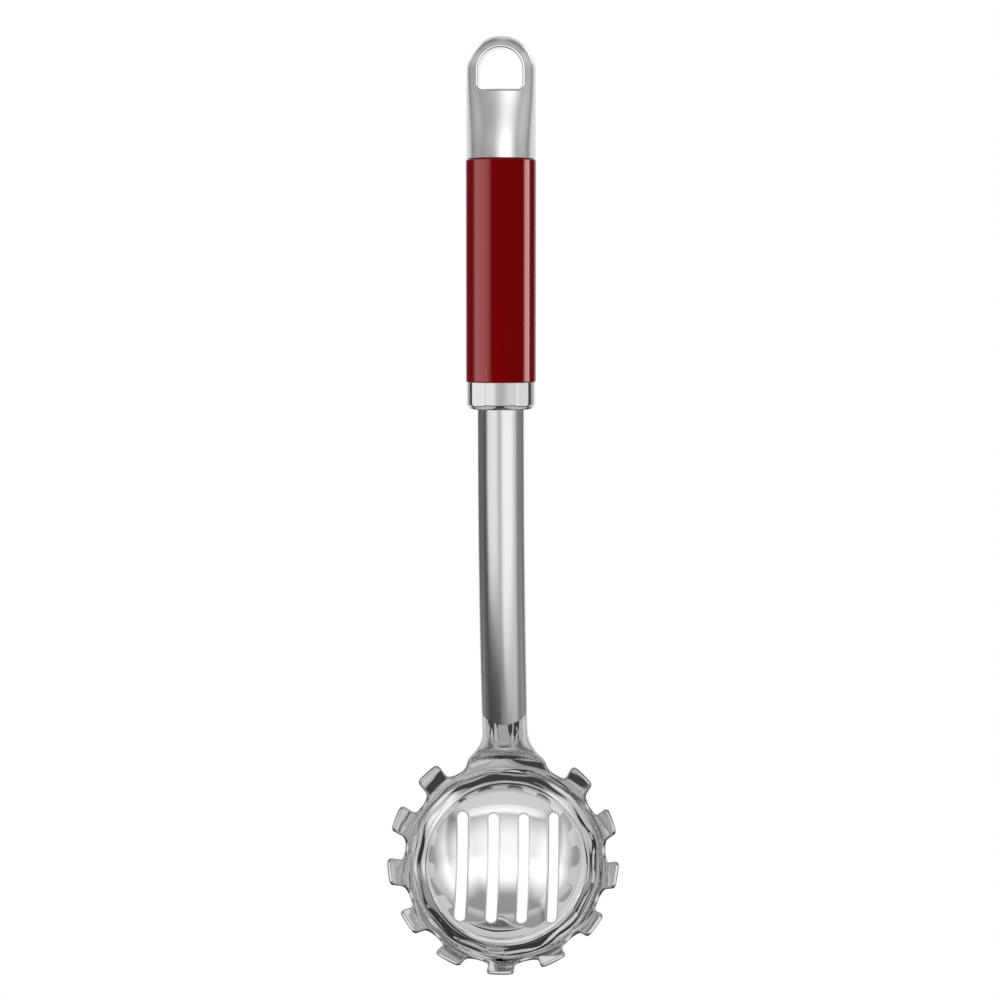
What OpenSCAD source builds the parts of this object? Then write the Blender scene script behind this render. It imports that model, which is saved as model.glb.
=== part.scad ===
// Pasta server: a pressed, slotted steel dish with upright teeth on a welded neck, a bent tube
// shaft and a round handle of ferrule, coloured grip and hanging cap.
// Z runs up along the handle, the dish opens towards -Y, and the origin is the centre of the
// hanging hole's arc. Lengths in millimetres, angles in degrees.

/* [Handle] */
// Diameter of the end cap and of the ferrule
handle_d = 25; // [24:0.5:30]
// How far the grip stands proud of the cap and the ferrule, on each side
grip_proud = 0.25; // [0.05:0.05:0.5]
// Length of the coloured grip
grip_len = 80; // [72:1:110]
// Wall of the grip
grip_wall = 2.4; // [1.6:0.1:2.8]
// Radius on the outer edges at the two ends of the grip
grip_edge_r = 0.4; // [0.2:0.1:0.8]
// Gap left round every piece that slides into another
fit_gap = 0.1; // [0.05:0.01:0.15]

/* [End cap] */
// Height from the centre of the cap's round top down to the grip
cap_len = 32; // [28:1:45]
// Thickness of the cap at the level of its hanging hole
cap_t = 15; // [12:0.5:20]
// Width of the hanging hole
hole_w = 16; // [10:0.5:18]
// Distance from the centre of the hole's arc down to its flat side
hole_drop = 7; // [5:0.5:10]
// Radius of the two lower corners of the hole
hole_corner_r = 1.8; // [0.8:0.1:3]
// Length of the spigot under the cap that goes into the grip
spigot_len = 12; // [8:1:14]

/* [Ferrule] */
// Height of the ferrule
ferrule_h = 10; // [8:0.5:14]
// Wall of the ferrule
ferrule_wall = 1.3; // [1:0.1:1.8]
// Radius of the ferrule's rounded lower edge
ferrule_edge_r = 2.3; // [1.8:0.1:3]

/* [Shaft] */
// Outer diameter of the tube
shaft_d = 17; // [14:0.5:18]
// Wall of the tube
shaft_wall = 1.2; // [1:0.1:1.6]
// Length of tube inside the handle, from the underside of the ferrule
shaft_in = 50; // [40:1:64]
// Radius of the tube's backward bend, at its centre line
bend_r = 370; // [300:10:500]
// Angle that the tube turns through
bend_a = 19; // [16:0.5:21]

/* [Tie rod] */
// Diameter of the rod that draws the cap on to the shaft
rod_d = 6; // [4:0.5:7]
// Length of rod held in the cap and in the plug
rod_grip = 14; // [10:1:16]
// Thickness of the plug's flange on the tube's end
plug_flange = 1; // [0.8:0.1:2]

/* [Head] */
// Tilt of the dish's opening up towards the handle
head_tilt = 19; // [14:1:23]
// Thickness of the sheet
sheet = 1.3; // [1:0.1:1.6]
// Radius of the round bowl at its upper edge
bowl_r = 30.4; // [27:0.1:31]
// Depth of the bowl below that edge
bowl_depth = 12.5; // [9:0.5:15]
// Bend radius of the bowl's upper edge
bowl_edge_r = 1.6; // [1.4:0.1:3]
// Rise of the ring round the bowl
ring_slope = 38; // [2:1:40]
// Radius of the hollow between the ring and the teeth
ring_hollow_r = 16.5; // [2.5:0.1:18]
// Radius of the circle through the outer corners of the teeth
tip_r = 43.2; // [42:0.1:46]
// Height of the tips above the foot of the wall
tip_h = 15; // [14:0.1:19]
// Outward lean of the teeth
tooth_lean = 28; // [12:1:30]
// Number of teeth
teeth = 11; // [7:2:11]
// Angle between neighbouring teeth
tooth_pitch = 27.4; // [27:0.1:28]
// Length of a tooth from the root of its gap to its tip
tooth_len = 12; // [11:0.1:15]
// Radius of the round root of each gap
gap_r = 4.4; // [3.6:0.1:4.8]
// Lean of a gap's sides towards its mouth
gap_lean = 5.5; // [2:0.5:7]
// Radius of the corners at a tooth's tip
tooth_corner_r = 2; // [0.8:0.1:2.4]

/* [Drain slots] */
// Number of slots
slots = 4; // [2:1:4]
// Width of a slot
slot_w = 4; // [3:0.1:5]
// Length of a slot over its round ends
slot_len = 42.6; // [36:0.2:46]
// Distance between the centre lines of neighbouring slots
slot_pitch = 11.6; // [9:0.1:12]

/* [Neck] */
// Distance from the dish's axis to the shaft's end, along the plane of the bowl's edge
neck_reach = 46.7; // [45:0.1:52]
// Height of the shaft's end above the plane of the bowl's edge
neck_rise = 21.9; // [20:0.1:26]
// Height of the dish's wall above its foot where the neck meets it
neck_wall_h = 9.2; // [8.5:0.1:13]
// Lean of the gap's side that faces the neck
neck_gap_lean = 30; // [24:1:34]
// Height of the neck's underside above the foot of the wall
neck_foot_h = 3.2; // [2.2:0.1:5]
// Half angle of the neck's foot on the wall
neck_foot_a = 21; // [17:0.5:22]
// Half angle of the neck's crown on the wall
neck_crown_a = 13; // [10:0.5:14]
// Pull of the neck's curves, along the tube at one end and into the wall at the other
neck_pull = 14; // [11:0.5:17]
// Length of the spigot that goes into the tube
neck_spigot = 14; // [10:1:20]

/* [Hidden] */
$fn = 96;
// Overlap of a cutter past the face that it opens
over = 1;

satin_steel = [0.72, 0.72, 0.72];
polished_steel = [0.80, 0.80, 0.81];
dark_red = [0.40, 0.01, 0.02];
natural_nylon = [0.85, 0.84, 0.80];

// Levels along the handle
handle_r = handle_d / 2;
grip_r = handle_r + grip_proud;
grip_bore_r = grip_r - grip_wall;
z_grip_top = -cap_len;
z_grip_low = z_grip_top - grip_len;
z_ferrule_low = z_grip_low - ferrule_h;
z_spigot_low = z_grip_top - spigot_len;
z_tube_top = z_ferrule_low + shaft_in;
z_plug_top = z_tube_top + plug_flange;
ferrule_bore_r = handle_r - ferrule_wall;
ferrule_floor = z_ferrule_low + ferrule_wall;
shaft_r = shaft_d / 2;
tube_bore_r = shaft_r - shaft_wall;
rod_r = rod_d / 2;
core_r = grip_bore_r - fit_gap;

// Lower end of the shaft's bend
shaft_end = [0, bend_r * (1 - cos(bend_a)), z_ferrule_low - bend_r * sin(bend_a)];

// Dish section: the bowl's ball radius and slopes follow from its edge, depth and bends
bowl_k = bowl_edge_r * cos(ring_slope) - bowl_depth;
bowl_m = bowl_r + bowl_edge_r * sin(ring_slope);
ball_r = (bowl_k * bowl_k + bowl_m * bowl_m - bowl_edge_r * bowl_edge_r)
       / (2 * (bowl_edge_r - bowl_k));
bowl_slope = atan2(bowl_m, ball_r + bowl_k);
ball_centre = [0, ball_r - bowl_depth];
edge_centre = ball_centre + (ball_r + bowl_edge_r) * [sin(bowl_slope), -cos(bowl_slope)];
ring_dir = [cos(ring_slope), sin(ring_slope)];
// The wall stands steeper than asked for where its lean would leave no room for the ring
ring_least = 2.9;
lean_most = atan2(tip_r - sheet - bowl_r - ring_least * ring_dir[0], tip_h);
wall_slope = 90 - min(tooth_lean, lean_most);
// Foot of the wall's inner face, where the ring's line would meet the wall's line
foot_r = tip_r - sheet * sin(wall_slope) - tip_h / tan(wall_slope);
foot = [foot_r, (foot_r - bowl_r) * tan(ring_slope)];
tip_inner = foot + tip_h * [1 / tan(wall_slope), 1];
half_turn = (wall_slope - ring_slope) / 2;
hollow_r = min(ring_hollow_r, (foot_r - bowl_r) / cos(ring_slope) / tan(half_turn));
hollow_centre = foot - hollow_r * tan(half_turn) * ring_dir
              + hollow_r * [-sin(ring_slope), cos(ring_slope)];

// Angle from the neck to the gap beside it
neck_gap_a = 180 - teeth / 2 * tooth_pitch;

// Point of the round arc about c at slope s, hollow upwards for r > 0 and crowned for r < 0
function bend(c, r, s) = c + r * [sin(s), -cos(s)];
function steps(a, b, n) = [for (i = [0:n]) a + (b - a) * i / n];

// One side of the sheet, from the axis out to the tips: o = 0 inside, o = sheet outside
function sheet_side(o) = concat(
    [for (s = steps(0, bowl_slope, 10)) bend(ball_centre, ball_r + o, s)],
    [for (s = steps(bowl_slope, ring_slope, 4)) bend(edge_centre, o - bowl_edge_r, s)],
    [for (s = steps(ring_slope, wall_slope, 6)) bend(hollow_centre, hollow_r + o, s)],
    [tip_inner + o * [sin(wall_slope), -cos(wall_slope)]]);
function backwards(list) = [for (i = [len(list) - 1:-1:0]) list[i]];

// Middle of the wall's thickness at height h above its foot, turned by a from the neck
function wall_point(a, h) =
    let (r = foot_r + h / tan(wall_slope) + sheet / 2 / sin(wall_slope))
    [r * sin(a), r * cos(a), foot[1] + h];

// Closed skin over rings of points, each ring with the same count, with a centre point at each end
module skin(rings, low_tip, high_tip) {
    n = len(rings[0]);
    m = len(rings);
    points = concat([for (ring = rings) each ring], [low_tip, high_tip]);
    low = m * n;
    sides = [for (j = [0:m - 2], i = [0:n - 1])
        let (a = j * n + i, b = j * n + (i + 1) % n)
        each [[a, a + n, b + n], [a, b + n, b]]];
    low_fan = [for (i = [0:n - 1]) [low, i, (i + 1) % n]];
    high_fan = [for (i = [0:n - 1]) [low + 1, (m - 1) * n + (i + 1) % n, (m - 1) * n + i]];
    polyhedron(points, concat(sides, low_fan, high_fan));
}

// Half thickness of the cap below its round top: oval at the hole, round at the grip
function cap_half_t(z) =
    let (u = -z / cap_len)
    cap_t / 2 + (handle_r - cap_t / 2) * u * u * (3 - 2 * u);

// Outline of the hanging hole: an arc above and a flat side with round corners below
module hole_outline() {
    hole_r = hole_w / 2;
    intersection() {
        circle(hole_r);
        translate([-hole_r, 0])
            square([hole_w, hole_r]);
    }
    translate([-hole_r, hole_corner_r - hole_drop])
        square([hole_w, hole_drop - hole_corner_r]);
    translate([hole_corner_r - hole_r, -hole_drop])
        square([hole_w - 2 * hole_corner_r, hole_corner_r]);
    for (side = [-1, 1])
        translate([side * (hole_r - hole_corner_r), hole_corner_r - hole_drop])
            circle(hole_corner_r);
}

// Cast cap: round at the grip, flattened towards a half-round top with the hanging hole
module end_cap() {
    around = 48;
    body_rings = [for (z = steps(z_grip_top, 0, 8))
        [for (i = [0:around - 1])
            let (q = 360 * i / around)
            [handle_r * cos(q), cap_half_t(z) * sin(q), z]]];
    top_rings = [for (f = [12:12:84])
        [for (i = [0:around - 1])
            let (q = 360 * i / around)
            [handle_r * cos(f) * cos(q), cap_t / 2 * cos(f) * sin(q), handle_r * sin(f)]]];
    color(satin_steel)
        difference() {
            union() {
                skin(concat(body_rings, top_rings), [0, 0, z_grip_top], [0, 0, handle_r]);
                translate([0, 0, z_spigot_low])
                    cylinder(r = core_r, h = spigot_len + over);
            }
            translate([0, handle_d, 0])
                rotate([90, 0, 0])
                    linear_extrude(2 * handle_d)
                        hole_outline();
            translate([0, 0, z_spigot_low - over])
                cylinder(r = rod_r + fit_gap, h = rod_grip + 2 * over);
        }
}

// Threaded rod that draws the cap, grip and ferrule on to the shaft
module tie_rod() {
    low = z_plug_top - rod_grip;
    color(polished_steel)
        translate([0, 0, low])
            cylinder(r = rod_r, h = z_spigot_low + rod_grip - low);
}

// Turned plug welded into the top of the tube, with a flange on the tube's end
module shaft_plug() {
    color(polished_steel)
        difference() {
            union() {
                translate([0, 0, z_tube_top - rod_grip])
                    cylinder(r = tube_bore_r - fit_gap, h = rod_grip + plug_flange);
                translate([0, 0, z_tube_top])
                    cylinder(r = shaft_r, h = plug_flange);
            }
            translate([0, 0, z_tube_top - rod_grip - over])
                cylinder(r = rod_r + fit_gap, h = rod_grip + plug_flange + 2 * over);
        }
}

// Moulded core that centres the tube in the grip, with a foot in the ferrule's cup
module grip_core() {
    color(natural_nylon)
        difference() {
            union() {
                translate([0, 0, ferrule_floor])
                    cylinder(r = core_r, h = z_spigot_low - ferrule_floor);
                translate([0, 0, ferrule_floor])
                    cylinder(r = ferrule_bore_r - fit_gap, h = z_grip_low - ferrule_floor);
            }
            translate([0, 0, ferrule_floor - over])
                cylinder(r = shaft_r + fit_gap, h = z_plug_top - ferrule_floor + over);
            translate([0, 0, z_plug_top - over])
                cylinder(r = rod_r + fit_gap, h = z_spigot_low - z_plug_top + 2 * over);
        }
}

// Glossy grip tube, its end edges slightly rounded
module grip() {
    edge = grip_r - grip_edge_r;
    low = z_grip_low + grip_edge_r;
    high = z_grip_top - grip_edge_r;
    color(dark_red)
        rotate_extrude()
            polygon(concat(
                [[grip_bore_r, z_grip_low]],
                [for (s = steps(0, 90, 4)) bend([edge, low], grip_edge_r, s)],
                [for (s = steps(90, 180, 4)) bend([edge, high], grip_edge_r, s)],
                [[grip_bore_r, z_grip_top]]));
}

// Polished cup that closes the grip's lower end round the tube
module ferrule() {
    edge_centre_at = [handle_r - ferrule_edge_r, z_ferrule_low + ferrule_edge_r];
    color(polished_steel)
        rotate_extrude()
            polygon(concat(
                [[shaft_r + fit_gap, z_ferrule_low]],
                [for (s = steps(0, 90, 8)) bend(edge_centre_at, ferrule_edge_r, s)],
                [[handle_r, z_grip_low],
                 [ferrule_bore_r, z_grip_low],
                 [ferrule_bore_r, ferrule_floor],
                 [shaft_r + fit_gap, ferrule_floor]]));
}

module tube_section() {
    difference() {
        circle(shaft_r);
        circle(tube_bore_r);
    }
}

// Brushed tube: straight inside the handle, then bent backwards in one long arc
module shaft() {
    color(satin_steel)
        union() {
            translate([0, 0, z_ferrule_low])
                linear_extrude(shaft_in)
                    tube_section();
            translate([0, bend_r, z_ferrule_low])
                rotate([-90, 0, 0])
                    rotate([0, 90, 0])
                        rotate_extrude(angle = bend_a)
                            translate([bend_r, 0])
                                tube_section();
        }
}

// Puts a shape from the dish's own frame (axis Z, neck towards Y) on to the shaft's end
module at_head() {
    translate(shaft_end)
        rotate([90 - head_tilt, 0, 0])
            translate([0, -neck_reach, -neck_rise])
                children();
}

// Solid neck: round where it meets the tube, spread out to a curved foot on the dish's wall
module neck() {
    around = 40;
    fall = bend_a + head_tilt;
    tube_end = [0, neck_reach, neck_rise];
    down = [0, -cos(fall), -sin(fall)];
    front = [0, -sin(fall), cos(fall)];
    // Angles below the ring's plane at which the neck runs into the wall, at its foot and crown
    entry_foot = 40;
    entry_crown = 68;
    // Squareness of the foot: 1 is an oval
    squareness = 0.6;
    function square_off(x) = sign(x) * pow(abs(x), squareness);
    function ring(u) =
        let (u2 = u * u, u3 = u2 * u)
        [for (i = [0:around - 1])
            let (q = 360 * i / around,
                 across = square_off(cos(q)),
                 up = (square_off(sin(q)) + 1) / 2,
                 a = across * (neck_foot_a + (neck_crown_a - neck_foot_a) * up),
                 p0 = tube_end + shaft_r * (cos(q) * [1, 0, 0] + sin(q) * front),
                 p1 = wall_point(a, neck_foot_h + (neck_wall_h - sheet - neck_foot_h) * up),
                 entry = entry_foot + (entry_crown - entry_foot) * up,
                 t1 = [-sin(a) * cos(entry), -cos(a) * cos(entry), -sin(entry)])
            (2 * u3 - 3 * u2 + 1) * p0 + (u3 - 2 * u2 + u) * neck_pull * down
            + (3 * u2 - 2 * u3) * p1 + (u3 - u2) * neck_pull * t1];
    color(polished_steel)
        at_head()
            difference() {
                union() {
                    skin([for (u = steps(0, 1, 12)) ring(u)], tube_end,
                         wall_point(0, (neck_foot_h + neck_wall_h) / 2));
                    translate(tube_end + over * down)
                        rotate([fall - 90, 0, 0])
                            cylinder(r = tube_bore_r - fit_gap, h = neck_spigot + over);
                }
                rotate_extrude()
                    polygon(concat(sheet_side(sheet), [[0, tip_inner[1]]]));
            }
}

// Side of a gap in the plane of the wall, with the tips' line at y = 0: from the round root up a
// leaning flank and round the tooth's corner
function gap_side(lean) =
    let (root = [0, gap_r - tooth_len],
         round_x = (gap_r + tooth_corner_r) / cos(lean) - (tooth_corner_r + root[1]) * tan(lean),
         round_centre = [round_x, -tooth_corner_r])
    concat([root + gap_r * [cos(lean), -sin(lean)]],
           [for (s = steps(180 - lean, 90, 4)) round_centre + tooth_corner_r * [cos(s), sin(s)]],
           [[round_x, over]]);

// Outline of a gap between teeth
module gap_outline(lean_left, lean_right) {
    translate([0, gap_r - tooth_len])
        circle(gap_r);
    polygon(concat(gap_side(lean_right), [for (p = backwards(gap_side(lean_left))) [-p[0], p[1]]]));
}

// Gap cut square through the wall, turned by a from the neck
module gap(a, lean_left, lean_right) {
    reach = hollow_r + sheet;
    rotate([0, 0, -a])
        translate([0, tip_inner[0], tip_inner[1]])
            rotate([wall_slope, 0, 0])
                translate([0, 0, -reach])
                    linear_extrude(2 * reach)
                        gap_outline(lean_left, lean_right);
}

module drain_slot() {
    straight = slot_len - slot_w;
    translate([0, 0, -bowl_depth - sheet - over])
        linear_extrude(bowl_depth + sheet + over) {
            square([slot_w, straight], center = true);
            for (end = [-1, 1])
                translate([0, end * straight / 2])
                    circle(slot_w / 2);
        }
}

// Pressed dish: slotted bowl, ring, and a wall cut into teeth, lower where the neck is welded on
module server_head() {
    color(polished_steel)
        at_head()
            difference() {
                rotate_extrude()
                    polygon(concat(sheet_side(0), backwards(sheet_side(sheet))));
                for (k = [1 - teeth / 2:1:teeth / 2 - 1])
                    gap(180 - k * tooth_pitch, gap_lean, gap_lean);
                gap(neck_gap_a, neck_gap_lean, gap_lean);
                gap(-neck_gap_a, gap_lean, neck_gap_lean);
                translate([0, 0, foot[1] + neck_wall_h])
                    linear_extrude(tip_h)
                        polygon([[0, 0],
                                 2 * tip_r * [-sin(neck_gap_a), cos(neck_gap_a)],
                                 2 * tip_r * [sin(neck_gap_a), cos(neck_gap_a)]]);
                for (i = [0:slots - 1])
                    translate([(i - (slots - 1) / 2) * slot_pitch, 0, 0])
                        drain_slot();
            }
}

end_cap();
tie_rod();
shaft_plug();
grip_core();
grip();
ferrule();
shaft();
neck();
server_head();
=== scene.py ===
import math
import bpy
import numpy as np
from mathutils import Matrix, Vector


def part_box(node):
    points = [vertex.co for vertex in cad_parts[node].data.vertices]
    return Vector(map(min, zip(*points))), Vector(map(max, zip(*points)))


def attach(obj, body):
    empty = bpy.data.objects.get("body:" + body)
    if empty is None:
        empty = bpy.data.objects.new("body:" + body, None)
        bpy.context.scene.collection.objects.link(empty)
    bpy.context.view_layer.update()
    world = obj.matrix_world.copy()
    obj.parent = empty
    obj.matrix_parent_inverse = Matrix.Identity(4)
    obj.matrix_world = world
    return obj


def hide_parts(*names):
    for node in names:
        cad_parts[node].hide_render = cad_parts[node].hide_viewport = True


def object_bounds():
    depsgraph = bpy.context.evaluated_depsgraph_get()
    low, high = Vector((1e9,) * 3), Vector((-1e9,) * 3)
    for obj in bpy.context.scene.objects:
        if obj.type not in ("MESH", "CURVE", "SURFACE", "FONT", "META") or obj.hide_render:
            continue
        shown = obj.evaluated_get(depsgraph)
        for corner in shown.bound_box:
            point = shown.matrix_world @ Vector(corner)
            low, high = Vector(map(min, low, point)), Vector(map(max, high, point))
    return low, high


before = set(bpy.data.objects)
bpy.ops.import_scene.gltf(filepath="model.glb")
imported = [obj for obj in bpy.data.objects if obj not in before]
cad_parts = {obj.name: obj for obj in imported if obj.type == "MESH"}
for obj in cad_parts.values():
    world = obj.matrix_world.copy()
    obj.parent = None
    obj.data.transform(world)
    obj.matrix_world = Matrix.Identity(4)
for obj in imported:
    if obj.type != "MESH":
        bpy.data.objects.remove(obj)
cad_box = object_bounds()

# Server head
# Pressed from one sheet of stainless steel: a slotted bowl, a ring round it and a leaning wall cut into
# teeth. The cut edges are tumbled and the dish is polished to a mirror. The one pressing is drawn as two
# meshes, the bowl and the ring with its teeth. Lengths are in millimetres, and MM is one in metres.
MM = 0.001
sheet = 1.3
bowl_r = 30.4
bowl_depth = 12.47
bowl_edge_r = 1.6
ring_slope = math.radians(36.5)
ring_hollow_r = 3.0
wall_slope = math.radians(64)
tip_r = 43.2
tip_h = 17.87
draw_softness = 0.8
crease_turn = math.radians(46.6)
crease_width = 0.9
tooth_pitch = math.radians(27.4)
tooth_len = 12.0
tooth_corner_r = 2.0
tooth_squareness = 4.0
gap_r = 4.4
gap_lean = math.radians(5.5)
gaps_a_side = 5
# Share, count round the dish and start of each wave in the ring
ring_sines = ((0.55, 2 * math.pi / tooth_pitch, 0.4), (0.45, 3, 1.1), (0.40, 5, 2.6), (0.30, 8, 0.7))
ring_wave = 0.16
wave_past_hollow = 2.5
wave_neck_fade = 0.06
ripple_depth = 0.06
ripple_len = 3.2
ripple_bend = 1.6
neck_gap_a = math.pi - (gaps_a_side + 0.5) * tooth_pitch
neck_lean = math.radians(30)
neck_level = -6.57
neck_back_dip = 4.5
slot_w = 4.0
slot_len = 41.9
slot_pitch = 11.6
slot_shift = -0.6
slot_squareness = 6.0
head_tilt = math.radians(19)
neck_reach = 46.7
neck_rise = 21.9
shaft_bend_r = 370.0
shaft_bend = math.radians(19)
shaft_bend_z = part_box("ferrule")[0].z / MM
half_sheet = sheet / 2
shaft_end = np.array([0, shaft_bend_r * (1 - math.cos(shaft_bend)),
                      shaft_bend_z - shaft_bend_r * math.sin(shaft_bend)])
# Rows are the dish's own directions: across, towards the neck, and out of the bowl
head_axes = np.array([[1, 0, 0],
                      [0, math.sin(head_tilt), math.cos(head_tilt)],
                      [0, -math.cos(head_tilt), math.sin(head_tilt)]])
head_centre = shaft_end - neck_reach * head_axes[1] - neck_rise * head_axes[2]
upward = np.array([0.0, 0.0, 1.0])


def pressed_section():
    """Middle of the sheet from the bowl's centre to the tips. The slope over the arc length is a chain of
    straight stretches, one for each bend of the press tool, less x times e to the -2x squared at the crease,
    and softened over draw_softness. Radius and height are the running sums of its cosine and sine. Returns
    arc length, radius, height, slope and the joints."""
    edge_h = bowl_edge_r * math.cos(ring_slope) - bowl_depth
    edge_x = bowl_r + bowl_edge_r * math.sin(ring_slope)
    ball_r = (edge_h**2 + edge_x**2 - bowl_edge_r**2) / (2 * (bowl_edge_r - edge_h))
    bowl_slope = math.atan2(edge_x, ball_r + edge_h)
    turn = wall_slope - ring_slope
    across = np.array([tip_r - sheet * math.sin(wall_slope) - bowl_r, tip_h])
    sides = np.array([[math.cos(ring_slope), math.cos(wall_slope)],
                      [math.sin(ring_slope), math.sin(wall_slope)]])
    ring_len, wall_len = np.linalg.solve(sides, across) - ring_hollow_r * math.tan(turn / 2)
    ball_len = (ball_r + half_sheet) * bowl_slope
    edge_len = (bowl_edge_r - half_sheet) * (bowl_slope - ring_slope)
    hollow_len = (ring_hollow_r + half_sheet) * turn
    joints = np.cumsum([ball_len, edge_len, ring_len, hollow_len, wall_len])
    slopes = [-bowl_slope, bowl_slope, ring_slope, ring_slope, wall_slope, wall_slope]
    arc = np.linspace(0, joints[-1], 8001)
    reach = int(draw_softness / 2 / arc[1])
    window = np.hanning(2 * reach + 1)
    longer = np.arange(-reach, len(arc) + reach) * arc[1]
    rough = np.interp(longer, np.concatenate([[-ball_len], joints]), slopes)
    crease_at = (longer - joints[1]) / crease_width
    rough -= crease_turn * crease_at * np.exp(-2 * crease_at**2)
    slope = np.convolve(rough, window / window.sum(), "valid")
    radius = np.cumsum(np.cos(slope)) * arc[1]
    height = np.cumsum(np.sin(slope)) * arc[1] - bowl_depth - half_sheet
    return arc, radius - radius[0], height, slope, joints


arc_at, radius_at, height_at, slope_at, joints = pressed_section()
s_floor, s_ring, s_hollow, s_wall, s_tip = joints


def ring_waves(a, s):
    """Unevenness that the pressing leaves in the ring: a sum of sines over the angle, one of them with the
    teeth's pitch, which fades out at the neck, and a fine ripple over the arc length that those sines bend,
    both times a bell over the arc length. Returns it with its two slopes."""
    off = (a + math.pi) % (2 * math.pi) - math.pi
    bell_len = s_wall + wave_past_hollow - s_ring
    bell_at = np.clip((s - s_ring) / bell_len, 0, 1)
    bell = np.sin(math.pi * bell_at) ** 2
    bell_slope = math.pi * np.sin(2 * math.pi * bell_at) / bell_len
    fade = 1 / (1 + np.exp((neck_gap_a - np.abs(off)) / wave_neck_fade))
    wave, wave_slope = np.zeros_like(off), np.zeros_like(off)
    for size, count, start in ring_sines:
        wave += size * np.sin(count * off + start)
        wave_slope += size * count * np.cos(count * off + start)
    phase = 2 * math.pi * (s - s_ring) / ripple_len + ripple_bend * wave
    ripple = ripple_depth / ring_wave * np.sin(phase)
    ripple_slope = ripple_depth / ring_wave * np.cos(phase)
    height = (fade * wave + ripple) * bell
    rise = (fade * wave + ripple) * bell_slope + 2 * math.pi / ripple_len * ripple_slope * bell
    swing = (fade + ripple_bend * ripple_slope) * wave_slope * bell
    return ring_wave * height, ring_wave * rise, ring_wave * swing


def unit(vectors):
    """Vectors divided by their lengths."""
    return vectors / np.linalg.norm(vectors, axis=-1, keepdims=True)


def on_sheet(a, s, lift=0.0):
    """Point of the dish at angle a from the neck and arc length s: the section's radius and height there,
    raised by the ring's waves and lifted off the sheet's middle along its normal. Returns it with that
    normal, which leans against the waves' slopes, and the direction up the sheet."""
    slope = np.interp(s, arc_at, slope_at)[..., None]
    radius = np.interp(s, arc_at, radius_at)[..., None]
    outward = np.stack([np.sin(a), np.cos(a), np.zeros_like(a)], -1)
    sideways = np.stack([np.cos(a), -np.sin(a), np.zeros_like(a)], -1)
    normal = np.cos(slope) * upward - np.sin(slope) * outward
    along = np.cos(slope) * outward + np.sin(slope) * upward
    wave, rise, swing = (part[..., None] for part in ring_waves(a, s))
    middle = radius * outward + np.interp(s, arc_at, height_at)[..., None] * upward + wave * normal
    normal = unit(normal - rise * along - swing / np.maximum(radius, 1.0) * sideways)
    return middle + lift * normal, normal, along


def flat_to_wall(d, v):
    """Angle and arc length of a point d to the side of a gap's middle and v above the tips' line."""
    return d / np.interp(s_tip + v, arc_at, radius_at), s_tip + v


def tooth_half(inset):
    """Outline from a gap's middle to the next tooth's middle: the root's arc, the leaning side, a round
    corner and half of the tip, all drawn back from the cut edge by inset."""
    root_v = gap_r - tooth_len
    turn = np.linspace(-math.pi / 2, -gap_lean, 10)
    root = np.stack([(gap_r + inset) * np.cos(turn), root_v + (gap_r + inset) * np.sin(turn)])
    corner_d = (gap_r + tooth_corner_r) / math.cos(gap_lean)
    corner_d += (-tooth_corner_r - root_v) * math.tan(gap_lean)
    turn = np.linspace(math.pi - gap_lean, math.pi / 2, 6)
    corner = np.stack([corner_d + (tooth_corner_r - inset) * np.cos(turn),
                       -tooth_corner_r + (tooth_corner_r - inset) * np.sin(turn)])
    side = np.linspace(root[:, -1], corner[:, 0], 9)[1:-1].T
    a, s = flat_to_wall(*np.concatenate([root, side, corner], 1))
    tip = np.linspace(a[-1], tooth_pitch / 2, 5)[1:]
    return np.concatenate([a, tip]), np.concatenate([s, np.full(4, s_tip - inset)])


def neck_half(inset):
    """Outline from the neck's middle to the middle of the gap beside it: straight across the neck at
    neck_level, then down the neck's leaning side to the gap's root, drawn back by inset."""
    root_v = gap_r - tooth_len
    turn = np.linspace(-neck_lean, -math.pi / 2, 11)
    root = np.stack([-(gap_r + inset) * np.cos(turn), root_v + (gap_r + inset) * np.sin(turn)])
    top_d = (gap_r + inset) / math.cos(neck_lean) + (neck_level - root_v) * math.tan(neck_lean)
    side = np.linspace([-top_d, neck_level], root[:, 0], 8)[:-1].T
    a, s = flat_to_wall(*np.concatenate([side, root[:, :-1]], 1))
    across = np.linspace(0, neck_gap_a + a[0], neck_columns)[:-1]
    return (np.concatenate([across, neck_gap_a + a]),
            np.concatenate([np.full(neck_columns - 1, s_tip + neck_level), s]))


def half_turn(neck, tooth):
    """Lines the neck's half up with the teeth from the neck to the opposite tooth."""
    gaps = neck_gap_a + tooth_pitch * np.arange(1, gaps_a_side + 1)
    parts = [neck, neck_gap_a + tooth]
    parts += [part for gap in gaps for part in (gap - tooth[-2::-1], gap + tooth[1:])]
    return np.concatenate(parts)


def whole_turn(right, mirror):
    """Adds the left half of a turn: mirrored angles, or the same arc lengths."""
    left = right[-2:0:-1]
    return np.concatenate([right, 2 * math.pi - left if mirror else left])


def dish_outline(inset):
    """Angles and arc lengths of the toothed outline all the way round, drawn back by inset."""
    neck_a, neck_s = neck_half(inset)
    tooth_a, tooth_s = tooth_half(inset)
    flat = np.concatenate([neck_s, tooth_s] + [tooth_s[-2::-1], tooth_s[1:]] * gaps_a_side)
    return whole_turn(half_turn(neck_a, tooth_a), True), whole_turn(flat, False)


neck_columns = 25
edge_a, edge_s = dish_outline(0.0)
skin_a, skin_s = dish_outline(half_sheet)
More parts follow.
